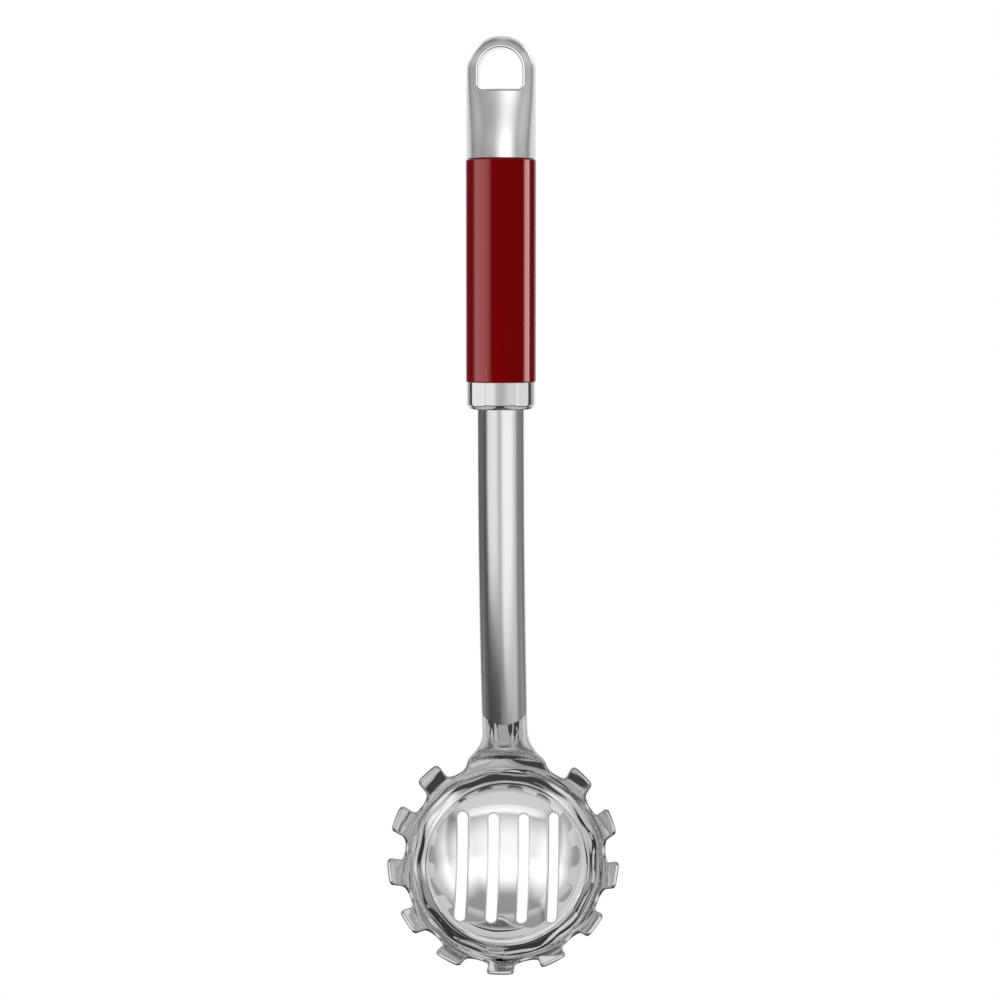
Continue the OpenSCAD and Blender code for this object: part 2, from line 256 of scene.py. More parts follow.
# Angles at which the columns of the outline start from the ring below the teeth: from a gap's middle to the
# ends of its root, side and corner, and from the neck's middle to the ends of its top and side
base_root, base_side, base_corner = np.radians([8.0, 10.2, 11.2])
base_neck, base_neck_side = np.radians([16.5, 21.3])
tooth_base = np.concatenate([np.linspace(0, base_root, 10), np.linspace(base_root, base_side, 9)[1:-1],
                             np.linspace(base_side, base_corner, 6),
                             np.linspace(base_corner, tooth_pitch / 2, 5)[1:]])
neck_base = np.concatenate([np.linspace(0, base_neck, neck_columns)[:-1],
                            np.linspace(base_neck, base_neck_side, 8)[:-1],
                            np.linspace(base_neck_side, neck_gap_a, 11)[:-1]])
base_a = whole_turn(half_turn(neck_base, tooth_base), True)
base_drop = 14.5
s_base = s_tip - base_drop
columns = len(base_a)


def skin(side):
    """Inner (side 1) or outer (side -1) face of the ring and teeth. Below s_base the grid's lines run along
    the section; above it they fan out from the ring to the toothed outline."""
    low = np.concatenate([np.linspace(s_floor, s_ring, 11), np.linspace(s_ring, s_hollow, 7)[1:],
                          np.linspace(s_hollow, s_base, 15)[1:]])
    w = np.linspace(0, 1, 24)[1:, None]
    top_s = skin_s.copy()
    if side < 0:
        across = np.abs((base_a + math.pi) % (2 * math.pi) - math.pi) / neck_base[neck_columns - 1]
        top_s -= neck_back_dip * np.where(across < 1, (1 - across**2) ** 2, 0)
    a = np.concatenate([np.tile(base_a, (len(low), 1)), base_a + w * (skin_a - base_a)])
    s = np.concatenate([np.tile(low[:, None], columns), s_base + w * (top_s - s_base)])
    points, normals, along = on_sheet(a, s, side * half_sheet)
    return points, side * normals, along


def rolled_edge(inner, outer, squareness):
    """Edge of the sheet: from the drawn-back outline to the cut edge and round to the other face. It is a
    half oval whose cosine and sine are raised to 2 over its squareness, so 2 is round and more is squarer."""
    middle, normal, _ = on_sheet(*inner)
    reach = on_sheet(*outer)[0] - middle
    turn = np.linspace(math.pi / 2, -math.pi / 2, 11)[:, None, None]
    out, up = np.abs(np.cos(turn)) ** (2 / squareness), np.abs(np.sin(turn)) ** (2 / squareness)
    points = middle + out * reach + np.sign(turn) * up * half_sheet * normal
    length = np.linalg.norm(reach, axis=-1, keepdims=True)
    facing = out ** (squareness - 1) * reach / length**2
    facing = facing + np.sign(turn) * up ** (squareness - 1) * normal / half_sheet
    return points, unit(facing)


def slot_outline(q, x, inset):
    """Stadium round a slot, clockwise seen from inside: q runs 0 to 1 over its upper end, to 2 down its
    right side, to 3 round its lower end and to 4 up its left side."""
    half_w = slot_w / 2 + inset
    straight = (slot_len - slot_w) / 2
    turn = np.where(q < 2, math.pi * (1 - np.clip(q, 0, 1)), -math.pi * (np.clip(q, 2, 3) - 2))
    drop = np.where(q < 2, 1 - 2 * np.clip(q - 1, 0, 1), 2 * np.clip(q - 3, 0, 1) - 1)
    return np.stack([x + half_w * np.cos(turn), slot_shift + straight * drop + half_w * np.sin(turn)], -1)


def plan_to_sheet(plan):
    """Angle and arc length of the sheet's middle above a point of the plan."""
    x, y = plan[..., 0], plan[..., 1]
    return np.arctan2(x, y), np.interp(np.hypot(x, y), radius_at, arc_at)


def slotted_floor():
    """Right half of the bowl's floor: one ring of quads round each slot, from the slot's outline out to the
    lines between the slots and to the floor's edge, where it meets the columns of the ring."""
    half = columns // 2
    rim = np.interp(s_floor, arc_at, radius_at) * np.stack([np.sin(base_a), np.cos(base_a)], -1)
    split = math.asin(slot_pitch / np.interp(s_floor, arc_at, radius_at))
    upper = int(np.argmin(np.abs(base_a[:half] - split)))
    lower = int(np.argmin(np.abs(base_a[:half] - math.pi + split)))
    steps = 40
    inner_line = np.linspace(rim[half], rim[0], steps + 1)
    outer_line = np.linspace(rim[upper], rim[lower], steps + 1)
    near = np.concatenate([rim[:upper], outer_line[:-1], rim[lower:half], inner_line[:-1]])
    near_q = np.concatenate([np.linspace(0, 1, upper + 1)[:-1], np.linspace(1, 2, steps + 1)[:-1],
                             np.linspace(2, 3, half - lower + 1)[:-1], np.linspace(3, 4, steps + 1)[:-1]])
    far = np.concatenate([rim[upper:lower], outer_line[:0:-1]])
    far_q = np.concatenate([np.linspace(0, 3, lower - upper + 1)[:-1], np.linspace(3, 4, steps + 1)[:-1]])
    w = np.linspace(0, 1, 10)[:, None, None]
    patches = []
    for loop, q, x in ((near, near_q, slot_pitch / 2), (far, far_q, 1.5 * slot_pitch)):
        inner = slot_outline(q, x, half_sheet)
        a, s = plan_to_sheet(inner + w * (loop - inner))
        for side in (1, -1):
            points, normals, _ = on_sheet(a, s, side * half_sheet)
            patches.append((points, side * normals, True))
        cut = rolled_edge(plan_to_sheet(inner), plan_to_sheet(slot_outline(q, x, 0.0)), slot_squareness)
        patches.append((*cut, True, 1))
    return patches


def mirrored(patches):
    """The same patches on the other side of the plane through the handle."""
    flip = np.array([-1.0, 1.0, 1.0])
    return [(p[0] * flip, p[1] * flip, *p[2:]) for p in patches]


def grid_piece(name, patches, materials):
    """Mesh of grid patches (points, normals, closed, optional finish number). Corners that agree to four
    decimals are welded, each face is turned to its patch's normals, and each face corner keeps them. A patch
    may end in one point repeated along its last row, and that row's faces become triangles."""
    points = np.concatenate([p[0].reshape(-1, 3) for p in patches])
    normals = np.concatenate([p[1].reshape(-1, 3) for p in patches])
    quads, finish, start = [], [], 0
    for patch in patches:
        grid = np.arange(start, start + patch[0].shape[0] * patch[0].shape[1]).reshape(patch[0].shape[:2])
        start += grid.size
        if patch[2]:
            grid = np.concatenate([grid, grid[:, :1]], 1)
        cells = np.stack([grid[:-1, :-1], grid[:-1, 1:], grid[1:, 1:], grid[1:, :-1]], -1)
        quads.append(cells.reshape(-1, 4))
        finish.append(np.full(len(quads[-1]), patch[3] if len(patch) > 3 else 0))
    quads, finish = np.concatenate(quads), np.concatenate(finish)
    _, first, weld = np.unique(np.round(points, 4), axis=0, return_index=True, return_inverse=True)
    weld = weld.reshape(-1)
    turn = np.cross(points[quads[:, 2]] - points[quads[:, 0]], points[quads[:, 3]] - points[quads[:, 1]])
    wrong = np.einsum("ij,ij->i", turn, normals[quads].mean(1)) < 0
    quads[wrong] = quads[wrong][:, [1, 0, 3, 2]]
    ends = weld[quads[:, 2]] == weld[quads[:, 3]]
    corners = np.concatenate([quads[~ends].reshape(-1), quads[ends][:, :3].reshape(-1)])
    mesh = bpy.data.meshes.new(name)
    mesh.from_pydata((points[first] * MM).tolist(), [],
                     weld[quads[~ends]].tolist() + weld[quads[ends][:, :3]].tolist())
    for material in materials:
        mesh.materials.append(material)
    mesh.polygons.foreach_set("use_smooth", np.ones(len(quads), bool))
    mesh.polygons.foreach_set("material_index", np.concatenate([finish[~ends], finish[ends]]))
    mesh.normals_split_custom_set(normals[corners].tolist())
    piece = bpy.data.objects.new(name, mesh)
    bpy.context.scene.collection.objects.link(piece)
    return piece


def new_finish(name, **settings):
    """New material with a Principled shader whose plain settings go straight on its sockets."""
    material = bpy.data.materials.new(name)
    material.use_nodes = True
    shader = material.node_tree.nodes["Principled BSDF"]
    for socket, value in settings.items():
        shader.inputs[socket.replace("_", " ")].default_value = value
    return material, material.node_tree, shader


def wire(tree, node, sockets):
    """Fills a node's sockets: a plain value is set on the socket, another node's output is linked to it."""
    for socket, value in sockets.items():
        if isinstance(value, bpy.types.NodeSocket):
            tree.links.new(value, node.inputs[socket])
        else:
            node.inputs[socket].default_value = value


def add_node(tree, kind, sockets=None, **settings):
    """Adds a shader node: settings go on the node itself, its sockets are wired, its outputs returned."""
    node = tree.nodes.new("ShaderNode" + kind)
    for setting, value in settings.items():
        setattr(node, setting, value)
    wire(tree, node, sockets or {})
    return node.outputs


def worked_out(tree, operation, *values):
    """Result of one operation on plain values and other nodes' outputs."""
    return add_node(tree, "Math", dict(enumerate(values)), operation=operation)[0]


def stretched(tree, x, y, z):
    """Place on the piece, scaled along each axis: a pattern is longer along an axis with less than 1."""
    place = add_node(tree, "TexCoord")["Object"]
    return add_node(tree, "Mapping", {"Vector": place, "Scale": (x, y, z)})["Vector"]


def noise(tree, place, scale, detail=2.0):
    """Noise over a place, of a scale to the metre and with as many finer layers as detail says."""
    return add_node(tree, "TexNoise", {"Vector": place, "Scale": scale, "Detail": detail})["Fac"]


def polish_group():
    """Marks left by a polishing wheel: a slow waviness as height, and fine hazy patches as roughness."""
    group = bpy.data.node_groups.new("polish_marks", "ShaderNodeTree")
    group.interface.new_socket("Vector", in_out="INPUT", socket_type="NodeSocketVector")
    for name in ("Wave Scale", "Haze Scale", "Low", "High"):
        group.interface.new_socket(name, in_out="INPUT", socket_type="NodeSocketFloat")
    for name in ("Height", "Roughness"):
        group.interface.new_socket(name, in_out="OUTPUT", socket_type="NodeSocketFloat")
    given = group.nodes.new("NodeGroupInput").outputs
    wave = noise(group, given["Vector"], given["Wave Scale"], 1.0)
    haze = noise(group, given["Vector"], given["Haze Scale"], 5.0)
    spread = add_node(group, "MapRange", {"Value": haze, "From Min": 0.3, "From Max": 0.7,
                                          "To Min": given["Low"], "To Max": given["High"]})
    out = group.nodes.new("NodeGroupOutput")
    wire(group, out, {"Height": wave, "Roughness": spread["Result"]})
    return group


polish_marks = polish_group()


def polished(name, shade, wave_scale, wave_depth, low, high, draw=1.0):
    """Polished steel of a grey shade. The polishing marks give its roughness, from low to high, and a bump of
    wave_depth; a draw below 1 makes them longer along the handle."""
    material, tree, shader = new_finish(name, Base_Color=(shade, shade, shade, 1), Metallic=1.0)
    marks = add_node(tree, "Group", {"Vector": stretched(tree, 1, draw, draw), "Wave Scale": wave_scale,
                                     "Haze Scale": 420.0, "Low": low, "High": high}, node_tree=polish_marks)
    bump = add_node(tree, "Bump", {"Height": marks["Height"], "Strength": 1.0, "Distance": wave_depth * MM})
    wire(tree, shader, {"Roughness": marks["Roughness"], "Normal": bump["Normal"]})
    return material


tooth_line_scale = 22.0
tooth_line_packing = 34
tooth_line_depth = 0.006
tooth_line_roughness = 0.03
tooth_lines_from = 7.5
tooth_lines_full = 10.0


def brushed_teeth(material):
    """Adds fine lines along the tips to a polished material: a noise stretched across the dish and packed
    along its axis, as bump and roughness above the roots of the gaps."""
    tree = material.node_tree
    shader = tree.nodes["Principled BSDF"]
    place = add_node(tree, "TexCoord")["Object"]
    in_dish = add_node(tree, "Mapping", {"Vector": place, "Location": head_centre * MM,
                                         "Rotation": (math.pi / 2 - head_tilt, 0, 0)},
                       vector_type="TEXTURE")["Vector"]
    packed = add_node(tree, "Mapping", {"Vector": in_dish, "Scale": (1, 1, tooth_line_packing)})
    lines = noise(tree, packed["Vector"], tooth_line_scale, 0.0)
    height = add_node(tree, "SeparateXYZ", {0: in_dish})["Z"]
    on_teeth = add_node(tree, "MapRange", {"Value": height, "From Min": tooth_lines_from * MM,
                                           "From Max": tooth_lines_full * MM},
                        interpolation_type="SMOOTHSTEP")
    relief = worked_out(tree, "MULTIPLY", lines, on_teeth["Result"])
    bump = add_node(tree, "Bump", {"Height": relief, "Distance": tooth_line_depth * MM,
                                   "Normal": tree.nodes["Bump"].outputs["Normal"]})
    polish = shader.inputs["Roughness"].links[0].from_socket
    rough = worked_out(tree, "MULTIPLY_ADD", relief, tooth_line_roughness, polish)
    wire(tree, shader, {"Roughness": rough, "Normal": bump["Normal"]})
    return material


cut_steel = polished("cut_steel", 0.50, 110.0, 0.02, 0.24, 0.34)
toothed_steel = brushed_teeth(polished("toothed_steel", 0.60, 110.0, 0.03, 0.01, 0.03))
inner_skin, inner_normals, inner_along = skin(1)
outer_skin, outer_normals, outer_along = skin(-1)
cut_columns = np.arange(neck_columns - 1, columns - neck_columns + 2)
cut_edge = rolled_edge((skin_a[cut_columns], skin_s[cut_columns]), (edge_a[cut_columns], edge_s[cut_columns]),
                       tooth_squareness)
neck_strip = np.arange(1 - neck_columns, neck_columns)
# Loop where the neck leaves the dish: across the inner face, round one edge, back across the outer face
neck_loop = np.concatenate([inner_skin[-1, neck_strip], cut_edge[0][1:-1, 0],
                            outer_skin[-1, neck_strip[::-1]], cut_edge[0][-2:0:-1, -1]])
loop_facing = np.concatenate([inner_normals[-1, neck_strip], cut_edge[1][1:-1, 0],
                              outer_normals[-1, neck_strip[::-1]], cut_edge[1][-2:0:-1, -1]])
into_neck = np.array([0.0, 0.3, 0.95])


def between(row, other, facing):
    """Straight strip between two rows of points, round a piece."""
    return np.stack([row, other]), np.broadcast_to(facing, (2, *row.shape)), True


def closing(loop, facing):
    """Fan that closes a loop of points inside the steel: a strip from the loop to its middle."""
    return between(loop, np.broadcast_to(loop.mean(0), loop.shape), facing)


def at_head(patches):
    """Moves patches from the dish's own frame to their place at the end of the shaft."""
    return [(p[0] @ head_axes + head_centre, p[1] @ head_axes, *p[2:]) for p in patches]


floor_right = slotted_floor()
bowl_patches = floor_right + mirrored(floor_right) + [between(inner_skin[0], outer_skin[0], inner_along[0])]
ring_patches = [(inner_skin, inner_normals, True), (outer_skin, outer_normals, True), (*cut_edge, False, 1),
                between(inner_skin[0], outer_skin[0], -inner_along[0]), closing(neck_loop, into_neck)]
bowl = grid_piece("server_head_bowl", at_head(bowl_patches), [toothed_steel, cut_steel])
ring = grid_piece("server_head_ring", at_head(ring_patches), [toothed_steel, cut_steel])
for piece in (bowl, ring):
    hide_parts("server_head")
    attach(piece, "root")

# Neck
# A solid steel piece between tube and dish. It is round at the tube, spreads out flat into the dish's
# wall, is welded to both and polished with the dish so that no seam shows.
neck_pull_dish = 0.7
neck_pull_front = 1.5
neck_pull_tube = 1.6
neck_front_share = math.radians(80)
shaft_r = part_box("shaft")[1].x / MM


def neck_surface():
    """Cubic curves from the loop on the dish to the tube's end: each leaves along the sheet and arrives
    along the tube, with pulls in proportion to the distance between its ends. The pull at the dish grows
    towards the middle of the front, by 1 less the square of the share across, squared."""
    fall = shaft_bend + head_tilt
    across = np.linspace(-1, 1, len(neck_strip))
    edge_turn = np.linspace(neck_front_share, math.pi - neck_front_share, 11)[1:-1]
    back = math.pi - neck_front_share * across[::-1]
    turn = np.concatenate([neck_front_share * across, edge_turn, back, -edge_turn[::-1]])
    tube_up = np.array([0, math.cos(fall), math.sin(fall)])
    tube_front = np.array([0, -math.sin(fall), math.cos(fall)])
    round_end = np.array([0, neck_reach, neck_rise]) + shaft_r * (
        np.sin(turn)[:, None] * np.array([1.0, 0, 0]) + np.cos(turn)[:, None] * tube_front)
    a = across * skin_a[neck_columns - 1]
    sideways = np.stack([np.cos(a), -np.sin(a), np.zeros_like(a)], -1)
    sideways *= (across * math.tan(neck_lean))[:, None]
    front_leave = inner_along[-1, neck_strip] - sideways
    back_leave = (outer_along[-1, neck_strip] - sideways)[::-1]
    right = np.repeat(front_leave[-1:], len(edge_turn), 0)
    left = np.repeat(front_leave[:1], len(edge_turn), 0)
    leave = unit(np.concatenate([front_leave, right, back_leave, left]))
    chord = np.linalg.norm(round_end - neck_loop, axis=1, keepdims=True)
    pull_dish = np.full(len(chord), neck_pull_dish)
    pull_dish[:len(across)] += (neck_pull_front - neck_pull_dish) * (1 - across**2) ** 2
    pull_dish = pull_dish[:, None] * chord
    u = np.linspace(0, 1, 33)[:, None, None]
    points = ((2 * u**3 - 3 * u**2 + 1) * neck_loop + (u**3 - 2 * u**2 + u) * pull_dish * leave
              + (3 * u**2 - 2 * u**3) * round_end + (u**3 - u**2) * chord * neck_pull_tube * tube_up)
    rise = ((6 * u**2 - 6 * u) * (neck_loop - round_end) + (3 * u**2 - 4 * u + 1) * pull_dish * leave
            + (3 * u**2 - 2 * u) * chord * neck_pull_tube * tube_up)
    around = np.roll(points, -1, 1) - np.roll(points, 1, 1)
    facing = unit(np.cross(around, rise))
    facing *= np.sign(np.einsum("ij,ij->", facing[0], loop_facing))
    facing[0] = loop_facing
    return points, facing, tube_up


neck_points, neck_facing, tube_up = neck_surface()
neck_patches = [(neck_points, neck_facing, True), closing(neck_points[-1], tube_up),
                closing(neck_loop, -into_neck)]
mirror_steel = polished("mirror_steel", 0.66, 400.0, 0.03, 0.22, 0.30, draw=0.15)
neck = grid_piece("neck_fillet", at_head(neck_patches), [mirror_steel])
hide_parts("neck")
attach(neck, "root")

# Shaft
# A steel tube with a long backward bend, straight where it runs up inside the handle. It is brushed to a
# satin, and its last stretch is polished together with the neck. The one tube is drawn as two meshes, the
# satin stretch and the polished one.
shaft_wall = 1.2
shaft_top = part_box("shaft")[1].z / MM
polish_front = 6.7
polish_dip = 2.6


def tube_surface(r, facing, satin):
    """Circle of radius r carried down the tube's middle line, straight to the bend and then along the arc.
    The satin stretch ends at the polish line, where the polished one begins. That line lies in a plane that
    slants up from the front, by polish_dip over the tube's radius."""
    turn = np.linspace(0, 2 * math.pi, 129)[:-1]
    line = shaft_bend - (polish_front + polish_dip * (1 - np.cos(turn))) / shaft_bend_r
    if satin:
        bend = np.concatenate([[0 * line], np.linspace(0, 1, 61)[:, None] * line])
    else:
        bend = line + np.linspace(0, 1, 13)[:, None] * (shaft_bend - line)
    drop = shaft_bend_z - shaft_bend_r * np.sin(bend)
    if satin:
        drop[0] = shaft_top
    middle = np.stack([0 * bend, shaft_bend_r * (1 - np.cos(bend)), drop], -1)
    normal = np.stack([np.sin(turn) + 0 * bend, -np.cos(turn) * np.cos(bend),
                       -np.cos(turn) * np.sin(bend)], -1)
    return middle + r * normal, facing * normal, True


def brushed_tube_steel():
    """Satin steel with fine lines along the tube, as roughness and a slight bump."""
    material, tree, shader = new_finish("brushed_tube", Base_Color=(0.60, 0.60, 0.60, 1), Metallic=1.0)
    lines = noise(tree, stretched(tree, 1, 1, 0.03), 2600.0, 3.0)
    satin = add_node(tree, "MapRange", {"Value": lines, "To Min": 0.20, "To Max": 0.29})
    bump = add_node(tree, "Bump", {"Height": lines, "Strength": 0.25, "Distance": 0.004 * MM})
    wire(tree, shader, {"Roughness": satin["Result"], "Normal": bump["Normal"]})
    return material


def tube_piece(name, satin, material):
    """Closed stretch of the tube: its outside, its inside and the two rings between them."""
    outside, inside = tube_surface(shaft_r, 1, satin), tube_surface(shaft_r - shaft_wall, -1, satin)
    tube_down = np.array([0, math.sin(shaft_bend), -math.cos(shaft_bend)])
    upper = between(outside[0][0], inside[0][0], -tube_down)
    lower = between(outside[0][-1], inside[0][-1], tube_down)
    piece = grid_piece(name, [outside, inside, upper, lower], [material])
    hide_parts("shaft")
    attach(piece, "root")
    return piece


drawn_steel = polished("drawn_steel", 0.60, 450.0, 0.28, 0.04, 0.08, draw=0.3)
shaft = tube_piece("shaft_tube", True, brushed_tube_steel())
shaft_polish = tube_piece("shaft_polished_end", False, drawn_steel)

# Ferrule
# A short drawn cup of polished steel with a rounded lower edge. The tube passes through its floor and the
# grip stands on its rim.
ferrule_low, ferrule_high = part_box("ferrule")
ferrule_r = ferrule_high.x / MM
ferrule_wall = 1.3
ferrule_edge_r = 2.3
ferrule_rim_r = 0.25
fit_gap = 0.1


def arc(r, z, bend_r, start, end, steps=9):
    """Arc of a turned profile about (r, z), from one facing angle to another: points and facing angles."""
    turn = np.radians(np.linspace(start, end, steps))
    return np.stack([r + bend_r * np.cos(turn), z + bend_r * np.sin(turn), turn], -1)


def spot(r, z, facing):
    """One point of a turned profile."""
    return np.array([[r, z, math.radians(facing)]])


def turned(*stretches):
    """Profile of arcs and spots turned about the handle's axis, each radius to a circle at its height."""
    profile = np.concatenate(stretches)[:, None]
    turn = np.linspace(0, 2 * math.pi, 161)[:-1]
    ring = np.stack([np.cos(turn), np.sin(turn), 0 * turn], -1)
    points = profile[..., :1] * ring + profile[..., 1:2] * upward
    return points, np.cos(profile[..., 2:]) * ring + np.sin(profile[..., 2:]) * upward, True


low_z = ferrule_low.z / MM
rim_z = ferrule_high.z / MM
ferrule_hole = shaft_r + fit_gap
ferrule_bore = ferrule_r - ferrule_wall
ferrule = grid_piece("ferrule_cup", [
    turned(spot(ferrule_bore, rim_z, 90),
           arc(ferrule_r - ferrule_rim_r, rim_z - ferrule_rim_r, ferrule_rim_r, 90, 0, 5),
           arc(ferrule_r - ferrule_edge_r, low_z + ferrule_edge_r, ferrule_edge_r, 0, -90, 17),
           spot(ferrule_hole, low_z, -90)),
    turned(spot(ferrule_hole, low_z, 180), spot(ferrule_hole, low_z + ferrule_wall, 180)),
    turned(spot(ferrule_hole, low_z + ferrule_wall, 90), spot(ferrule_bore, low_z + ferrule_wall, 90)),
    turned(spot(ferrule_bore, low_z + ferrule_wall, 180), spot(ferrule_bore, rim_z, 180))],
    [polished("polished_ferrule", 0.66, 110.0, 0.012, 0.06, 0.12)])
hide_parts("ferrule")
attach(ferrule, "root")

# Plug, tie rod and core
# Inside the handle a turned plug closes the tube, a rod draws the cap down on to it, and a moulded nylon
# core centres the tube in the grip. Nothing of them shows.


def hidden_finish(name, shade, metal, low, high, scale):
    """Plain finish of an inner piece, with turning or mould marks in its roughness."""
    material, tree, shader = new_finish(name, Base_Color=(*shade, 1), Metallic=metal)
    marks = noise(tree, add_node(tree, "TexCoord")["Object"], scale)
    spread = add_node(tree, "MapRange", {"Value": marks, "To Min": low, "To Max": high})
    wire(tree, shader, {"Roughness": spread["Result"]})
    return material


plain_steel = hidden_finish("plain_steel", (0.58, 0.58, 0.58), 1.0, 0.25, 0.45, 900.0)
natural_nylon = hidden_finish("natural_nylon", (0.72, 0.70, 0.65), 0.0, 0.45, 0.65, 300.0)
for node, material in (("tie_rod", plain_steel), ("shaft_plug", plain_steel), ("grip_core", natural_nylon)):
    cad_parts[node].data.materials.clear()
    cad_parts[node].data.materials.append(material)

# Grip
# A tube of deep red plastic with a high gloss, clamped between the cap and the ferrule. Its ends are
# slightly rounded and it stands a hair proud of both.
grip_low, grip_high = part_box("grip")
grip_r = grip_high.y / MM
grip_wall = 2.4
grip_edge_r = 0.4


def red_gloss_plastic():
    """Deep red with faint flow marks in its colour and a slight unevenness in its gloss."""
    material, tree, shader = new_finish("red_gloss", IOR=1.46, Specular_Tint=(1, 0.45, 0.46, 1))
    flow = noise(tree, stretched(tree, 1, 1, 0.25), 70.0)
    tone = add_node(tree, "Mix", {"Factor": flow, "A": (0.150, 0.0008, 0.0016, 1),
                                  "B": (0.172, 0.0012, 0.0024, 1)}, data_type="RGBA")
    gloss = add_node(tree, "MapRange", {"Value": flow, "To Min": 0.06, "To Max": 0.10})
    wire(tree, shader, {"Base Color": tone["Result"], "Roughness": gloss["Result"]})
    return material


grip_low_z = grip_low.z / MM
grip_high_z = grip_high.z / MM
grip_bore = grip_r - grip_wall
grip_bend = grip_r - grip_edge_r
grip = grid_piece("grip_tube", [
    turned(spot(grip_bore, grip_high_z, 90), arc(grip_bend, grip_high_z - grip_edge_r, grip_edge_r, 90, 0),
           arc(grip_bend, grip_low_z + grip_edge_r, grip_edge_r, 0, -90), spot(grip_bore, grip_low_z, -90)),
    turned(spot(grip_bore, grip_low_z, 180), spot(grip_bore, grip_high_z, 180))], [red_gloss_plastic()])
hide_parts("grip")
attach(grip, "root")

# End cap
# A steel casting, round where it meets the grip and flattened towards a half-round top with a D-shaped
# hanging hole. Its skin is blasted to a fine satin and the rounded edge of the hole is polished.
cap_t = 15.0
cap_len = -grip_high_z
cap_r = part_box("end_cap")[1].x / MM
hole_w = 16.0
hole_drop = 7.0
hole_corner_r = 1.8
hole_edge_r = 1.0
cap_chamfer = 0.35
# From this height up the points of the cap's side stand as close as those of the hole's
close_points_z = -11.0
spigot_r = grip_bore - fit_gap
spigot_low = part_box("end_cap")[0].z / MM


def cap_half_t(z):
    """Half the cap's thickness, and how fast it changes with height: constant round the hole, then a smooth
    step out to the grip's round."""
    u = np.clip(-z / cap_len, 0, 1)
    growth = cap_r - cap_t / 2
    return cap_t / 2 + growth * u * u * (3 - 2 * u), -growth * 6 * u * (1 - u) / cap_len


def on_cap(x, z):
    """Point of the cap's front face over (x, z) and its normal: each level is an oval, and above the hole's
    middle the oval is turned about the axis of the hole."""
    above = np.maximum(z, 0)
    share = np.clip((x * x + above * above) / cap_r**2, 0, 1)
    half_t, half_t_slope = cap_half_t(z)
    y = half_t * np.sqrt(1 - share)
    lean = above / cap_r**2 - y * y / half_t**3 * half_t_slope
    normal = np.stack([x / cap_r**2, -y / half_t**2, lean], -1)
    return np.stack([x, -y, z], -1), unit(normal)


flat_points = 14
top_points = 31


def hole_half(grow):
    """Right half of the hole's outline from the middle of its flat side to the top, widened by grow."""
    half_w = hole_w / 2 + grow
    corner_r = hole_corner_r + grow
    low = -hole_drop - grow
    flat = np.stack([np.linspace(0, half_w - corner_r, flat_points + 1)[:-1], np.full(flat_points, low)])
    turn = np.linspace(-math.pi / 2, 0, 9)
    corner = np.stack([half_w - corner_r + corner_r * np.cos(turn), low + corner_r + corner_r * np.sin(turn)])
    side = np.linspace([half_w, low + corner_r], [half_w, 0], 8)[1:-1].T
    turn = np.linspace(0, math.pi / 2, top_points)
    return np.concatenate([flat, corner, side, half_w * np.stack([np.cos(turn), np.sin(turn)])], 1).T


def cap_outline_half():
    """Right half of the cap's outline, point for point beside the hole's: lower rim, side and top."""
    turn = np.linspace(0, math.pi / 2, flat_points + 1)[:-1]
    low = cap_chamfer - cap_len
    rim = np.stack([cap_r * np.sin(turn), np.full(flat_points, low)])
    side_z = np.concatenate([np.linspace(low, close_points_z, 9), np.linspace(close_points_z, 0, 8)[1:-1]])
    side = np.stack([np.full(len(side_z), cap_r), side_z])
    turn = np.linspace(0, math.pi / 2, top_points)
    return np.concatenate([rim, side, cap_r * np.stack([np.cos(turn), np.sin(turn)])], 1).T


def both_sides(right):
    """Adds the mirrored left half of an outline."""
    return np.concatenate([right, right[-2:0:-1] * np.array([-1, 1])])


def cap_patches():
    """Front of the cap as rows from the hole's edge to the outline, the hole's rounded edge, its wall, the
    same behind, and the rim, underside and spigot."""
    hole = both_sides(hole_half(0.0))
    wide = both_sides(hole_half(hole_edge_r))
    outline = both_sides(cap_outline_half())
    share = np.sin(np.linspace(0, math.pi / 2, 22))[:, None, None]
    plan = wide + share * (outline - wide)
    face, face_normal = on_cap(plan[..., 0], plan[..., 1])
    outward = unit(wide - hole)
    outward = np.stack([outward[:, 0], 0 * outward[:, 0], outward[:, 1]], -1)
    turn = np.linspace(0, math.pi / 2, 8)[:, None, None]
    backward = np.array([0, 1.0, 0])
    edge = face[0] + hole_edge_r * ((1 - np.cos(turn)) * backward - np.sin(turn) * outward)
    edge_normal = unit(np.cos(turn) * face_normal[0] - np.sin(turn) * outward)
    wall = np.linspace(edge[-1], edge[-1] * np.array([1, 0, 1.0]), 4)
    front = [(face, face_normal, True, 0), (edge, edge_normal, True, 1),
             (wall, np.broadcast_to(-outward, wall.shape), True, 1)]
    flip = np.array([1.0, -1.0, 1.0])
    behind = [(p * flip, n * flip, True, f) for p, n, _, f in front]
    rim = np.concatenate([face[-1, -flat_points:], face[-1, :flat_points + 1]])
    rim = np.concatenate([rim, rim[-2:0:-1] * flip])
    round_rim = rim / np.hypot(rim[:, :1], rim[:, 1:2])
    level = np.array([1.0, 1.0, 0])
    slanted = (round_rim * level - upward) / math.sqrt(2)
    foot = rim * level * (1 - cap_chamfer / cap_r) - cap_len * upward
    spigot_top = round_rim * level * spigot_r - cap_len * upward
    spigot_end = spigot_top * level + spigot_low * upward
    below = [(*between(rim, foot, slanted), 1), between(foot, spigot_top, -upward),
             between(spigot_top, spigot_end, round_rim * level), closing(spigot_end, -upward)]
    return front + behind + below


